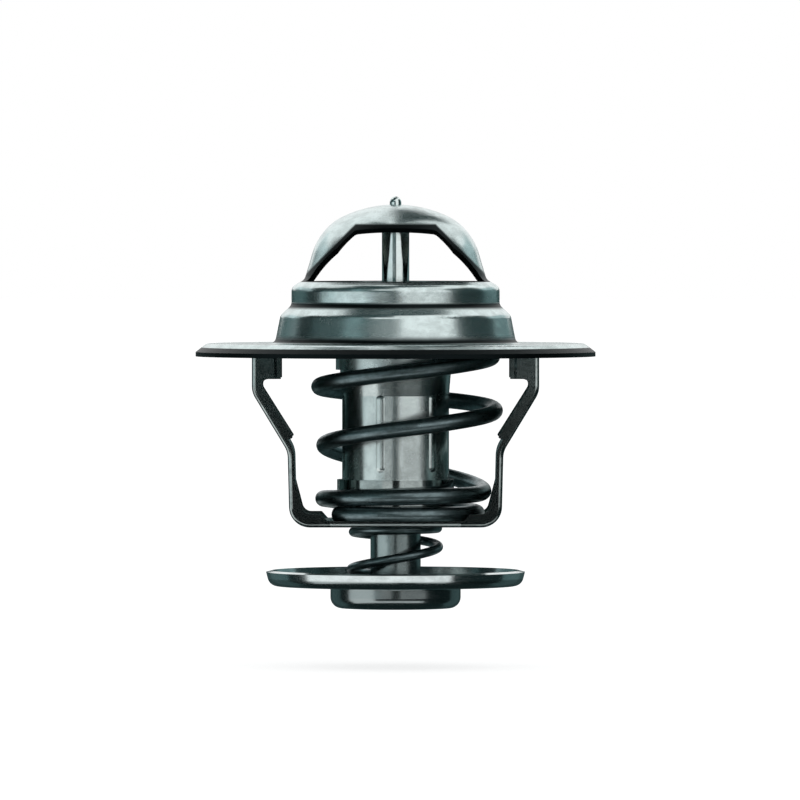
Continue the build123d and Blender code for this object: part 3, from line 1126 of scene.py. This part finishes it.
def stage_object(name, mesh):
    """Link an object that isn't part of the thermostat."""
    thing = bpy.data.objects.new(name, mesh)
    bpy.context.scene.collection.objects.link(thing)
    return thing


def seen_rays(tree):
    """One for camera, glossy and transmission rays, and zero for the rest."""
    path = add_node(tree, "ShaderNodeLightPath")
    camera_or_glossy = maths(tree, "MAXIMUM", path.outputs["Is Camera Ray"], path.outputs["Is Glossy Ray"])
    return maths(tree, "MAXIMUM", camera_or_glossy, path.outputs["Is Transmission Ray"])


def pale_floor(colour, glow_level):
    """Floor that is white where it is seen, keeps the soft shadow and is clear from below."""
    material, tree = empty_material("pale_floor")
    dull = add_node(tree, "ShaderNodeBsdfDiffuse", Color=(*colour, 1.0))
    glow = add_node(tree, "ShaderNodeEmission", Color=(1.0, 1.0, 1.0, 1.0))
    tree.links.new(maths(tree, "MULTIPLY", seen_rays(tree), glow_level), glow.inputs["Strength"])
    both = add_node(tree, "ShaderNodeAddShader")
    tree.links.new(dull.outputs["BSDF"], both.inputs[0])
    tree.links.new(glow.outputs["Emission"], both.inputs[1])
    upper_side = add_node(tree, "ShaderNodeMixShader")
    tree.links.new(add_node(tree, "ShaderNodeNewGeometry").outputs["Backfacing"], upper_side.inputs["Fac"])
    tree.links.new(both.outputs["Shader"], upper_side.inputs[1])
    tree.links.new(add_node(tree, "ShaderNodeBsdfTransparent").outputs["BSDF"], upper_side.inputs[2])
    show(tree, upper_side.outputs["Shader"])
    return material


def lay_floor(studio):
    """Pale floor that lies just under the open thermostat."""
    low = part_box("bypass_disc")[0].z - joint_end("valve_lift")
    half = studio.floor_size / 2
    corners = [(-half, -half, low), (half, -half, low), (half, half, low), (-half, half, low)]
    mesh = bpy.data.meshes.new("floor")
    mesh.from_pydata(corners, [], [(0, 1, 2, 3)])
    mesh.materials.append(pale_floor(studio.floor_colour, studio.floor_glow))
    floor = stage_object("floor", mesh)
    floor.visible_glossy = False
    floor.visible_shadow = False


def card_mesh(name, span, distance):
    """Patch of a globe between two turns and two rises."""
    start, end, low, high = span
    columns = max(2, round(abs(end - start) / CARD_TURN_STEP))
    rows = max(1, round(abs(high - low) / CARD_RISE_STEP))
    corners = []
    for column in range(columns + 1):
        turn = radians(start + (end - start) * column / columns)
        for row in range(rows + 1):
            rise = radians(low + (high - low) * row / rows)
            reach = distance * cos(rise)
            corners.append((reach * sin(turn), -reach * cos(turn), distance * sin(rise)))
    faces = []
    for column in range(columns):
        for row in range(rows):
            first = column * (rows + 1) + row
            faces.append((first, first + 1, first + rows + 2, first + rows + 1))
    mesh = bpy.data.meshes.new(name)
    mesh.from_pydata(corners, [], faces)
    return mesh


def hang_card(index, card, distance):
    """Card round the thermostat that only shows in the metal's reflections."""
    *span, level = card
    name = f"card_{index}"
    material, tree = empty_material(name)
    red = level * (CARD_RED[0] + CARD_RED[1] * level)
    glow = add_node(tree, "ShaderNodeEmission", Color=(red, level, CARD_BLUE * level, 1.0), Strength=1.0)
    show(tree, glow.outputs["Emission"])
    material.cycles.emission_sampling = "NONE"
    mesh = card_mesh(name, span, distance)
    mesh.materials.append(material)
    thing = stage_object(name, mesh)
    thing.visible_camera = False
    thing.visible_diffuse = False
    thing.visible_shadow = False
    thing.visible_transmission = False


def light_world(level):
    """White all round for what is seen, and plain soft light for what is lit."""
    world = bpy.data.worlds.new("studio")
    bpy.context.scene.world = world
    world.use_nodes = True
    world.cycles.sampling_method = "NONE"
    tree = world.node_tree
    tree.nodes.clear()
    sky = add_node(tree, "ShaderNodeBackground", Color=(1.0, 1.0, 1.0, 1.0))
    strength = between(tree, seen_rays(tree), level, 1.0, start=0.0, end=1.0)
    tree.links.new(strength, sky.inputs["Strength"])
    output = add_node(tree, "ShaderNodeOutputWorld")
    tree.links.new(sky.outputs["Background"], output.inputs["Surface"])


def place_lamp(name, place, size, level):
    """Soft upright lamp that faces the axis and lights the dull surfaces and the floor."""
    lamp = bpy.data.lights.new(name, "AREA")
    lamp.shape = "RECTANGLE"
    lamp.size, lamp.size_y = size
    lamp.energy = level * pi * size[0] * size[1]
    thing = bpy.data.objects.new(name, lamp)
    thing.location = place
    thing.rotation_mode = "QUATERNION"
    thing.rotation_quaternion = Vector((-place[0], -place[1], 0)).to_track_quat("-Z", "Y")
    thing.visible_glossy = False
    bpy.context.scene.collection.objects.link(thing)


def place_camera(studio):
    """Camera before the thermostat, aimed near its middle."""
    camera = bpy.data.cameras.new("camera")
    camera.lens = studio.lens
    camera.clip_start, camera.clip_end = CAMERA_CLIP
    thing = bpy.data.objects.new("camera", camera)
    bpy.context.scene.collection.objects.link(thing)
    aim = Vector(studio.aim)
    thing.location = (aim.x, -studio.camera_distance, studio.camera_height)
    thing.rotation_mode = "QUATERNION"
    thing.rotation_quaternion = (aim - thing.location).to_track_quat("-Z", "Y")
    bpy.context.scene.camera = thing


class THERMOSTAT_OT_studio(bpy.types.Operator):
    """Set up the floor, cards, lamps and camera."""

    bl_idname = "thermostat.studio"
    bl_label = "Studio"

    def execute(self, context):
        studio = context.scene.thermostat_studio
        lay_floor(studio)
        light_world(studio.fill_level)
        for index, card in enumerate(CARDS):
            hang_card(index, card, studio.card_distance)
        place_lamp("lamp_left", studio.left_place, studio.left_size, studio.left_level)
        place_lamp("lamp_right", studio.right_place, studio.right_size, studio.right_level)
        place_camera(studio)
        context.scene.view_settings.view_transform = "Standard"
        return {"FINISHED"}


PIECE_OPERATORS = (
    THERMOSTAT_OT_housing,
    THERMOSTAT_OT_lower_frame,
    THERMOSTAT_OT_element,
    THERMOSTAT_OT_main_valve,
    THERMOSTAT_OT_main_spring,
    THERMOSTAT_OT_bypass_spring,
    THERMOSTAT_OT_bypass_valve,
    THERMOSTAT_OT_studio,
)


class THERMOSTAT_PT_build(bpy.types.Panel):
    """Buttons and values for the thermostat."""

    bl_idname = "THERMOSTAT_PT_build"
    bl_label = "Thermostat"
    bl_space_type = "VIEW_3D"
    bl_region_type = "UI"
    bl_category = "Thermostat"

    def draw(self, context):
        layout = self.layout
        for operator in PIECE_OPERATORS:
            layout.operator(operator.bl_idname)
        for group in ("thermostat_finish", "thermostat_springs", "thermostat_studio"):
            values = getattr(context.scene, group)
            box = layout.box()
            for name in values.__annotations__:
                box.prop(values, name)


CLASSES = (ThermostatFinish, ThermostatSprings, ThermostatStudio, *PIECE_OPERATORS, THERMOSTAT_PT_build)


def register():
    """Add the classes and the scene's values."""
    for cls in CLASSES:
        bpy.utils.register_class(cls)
    bpy.types.Scene.thermostat_finish = bpy.props.PointerProperty(type=ThermostatFinish)
    bpy.types.Scene.thermostat_springs = bpy.props.PointerProperty(type=ThermostatSprings)
    bpy.types.Scene.thermostat_studio = bpy.props.PointerProperty(type=ThermostatStudio)


def unregister():
    """Take the scene's values and the classes away again."""
    del bpy.types.Scene.thermostat_studio
    del bpy.types.Scene.thermostat_springs
    del bpy.types.Scene.thermostat_finish
    for cls in reversed(CLASSES):
        bpy.utils.unregister_class(cls)


def main():
    """Build the looks in order."""
    register()
    bpy.ops.thermostat.housing()
    bpy.ops.thermostat.lower_frame()
    bpy.ops.thermostat.element()
    bpy.ops.thermostat.main_valve()
    bpy.ops.thermostat.main_spring()
    bpy.ops.thermostat.bypass_spring()
    bpy.ops.thermostat.bypass_valve()
    bpy.ops.thermostat.studio()


if __name__ == "__main__":
    main()
